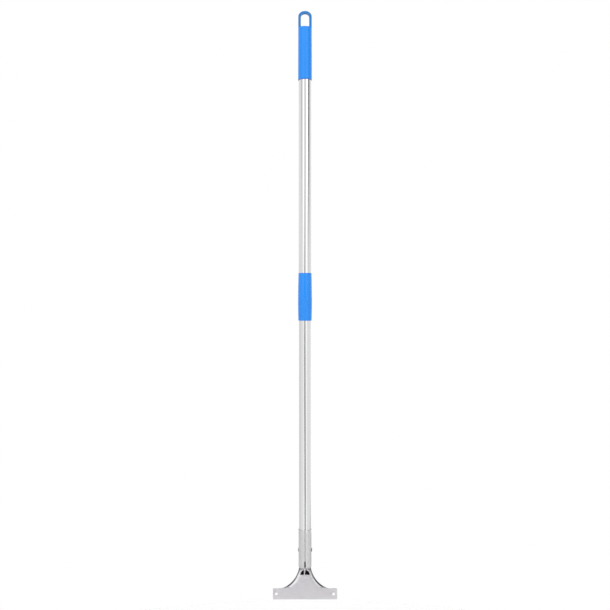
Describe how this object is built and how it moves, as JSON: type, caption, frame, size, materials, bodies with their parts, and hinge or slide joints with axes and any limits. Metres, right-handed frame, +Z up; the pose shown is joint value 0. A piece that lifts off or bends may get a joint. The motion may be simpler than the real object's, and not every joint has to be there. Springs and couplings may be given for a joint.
{
  "type": "window cleaning squeegee",
  "caption": "Long-handled T-head squeegee: stamped steel head with end holes, twist-lock telescopic steel pole, plastic collar and grip with a hanging loop.",
  "frame": {"origin": "the top of the hole in the grip's hanging loop, on the pole's axis, where a hook holds the tool", "axes": "+Z up the pole from the head to the loop, +X along the head's width to the right seen from the front, -Y the front, where the flanges and the seam are"},
  "size_m": [0.1284, 0.0278, 1.1758],
  "materials": {
    "blue_plastic": "moulded, semi-gloss",
    "tube_steel": "bright polished tube",
    "stamped_steel": "satin stamped sheet",
    "rivet_steel": "bright",
    "zinc_steel": "zinc plated",
    "black_plastic": "matt moulded",
    "nylon": "natural nylon",
    "black_rubber": "matt"
  },
  "bodies": {
    "upper_pole": {"grip": "blue_plastic", "outer_tube": "tube_steel", "collar": "blue_plastic"},
    "expander": {"expander_sleeve": "nylon", "friction_ring": "black_rubber"},
    "lock_cone": {"cone_nut": "black_plastic"},
    "lower_pole": {"inner_tube": "tube_steel", "socket_sleeve": "stamped_steel", "head_plate": "stamped_steel", "rivet_left": "rivet_steel", "rivet_mandrel_left": "zinc_steel", "rivet_right": "rivet_steel", "rivet_mandrel_right": "zinc_steel", "spindle_plug": "black_plastic", "plug_pin_left": "zinc_steel", "plug_pin_right": "zinc_steel", "lock_screw": "zinc_steel", "thrust_washer": "zinc_steel", "stop_nut": "zinc_steel"}
  },
  "joints": [
    {"name": "pole_slide", "type": "slide", "parent": "upper_pole", "child": "expander", "axis": [0, 0, 1], "range_m": [0, 0.415]},
    {"name": "pole_twist", "type": "hinge", "parent": "expander", "child": "lower_pole", "pos_m": [0, 0, -0.5], "axis": [0, 0, 1], "range_deg": [-360, 0]},
    {"name": "cone_travel", "type": "slide", "parent": "expander", "child": "lock_cone", "axis": [0, 0, 1], "range_m": [0, 0.0021]}
  ],
  "couplings": [
    {"joint": "cone_travel", "follows": "pole_twist", "m_per_rad": -0.00031831}
  ]
}
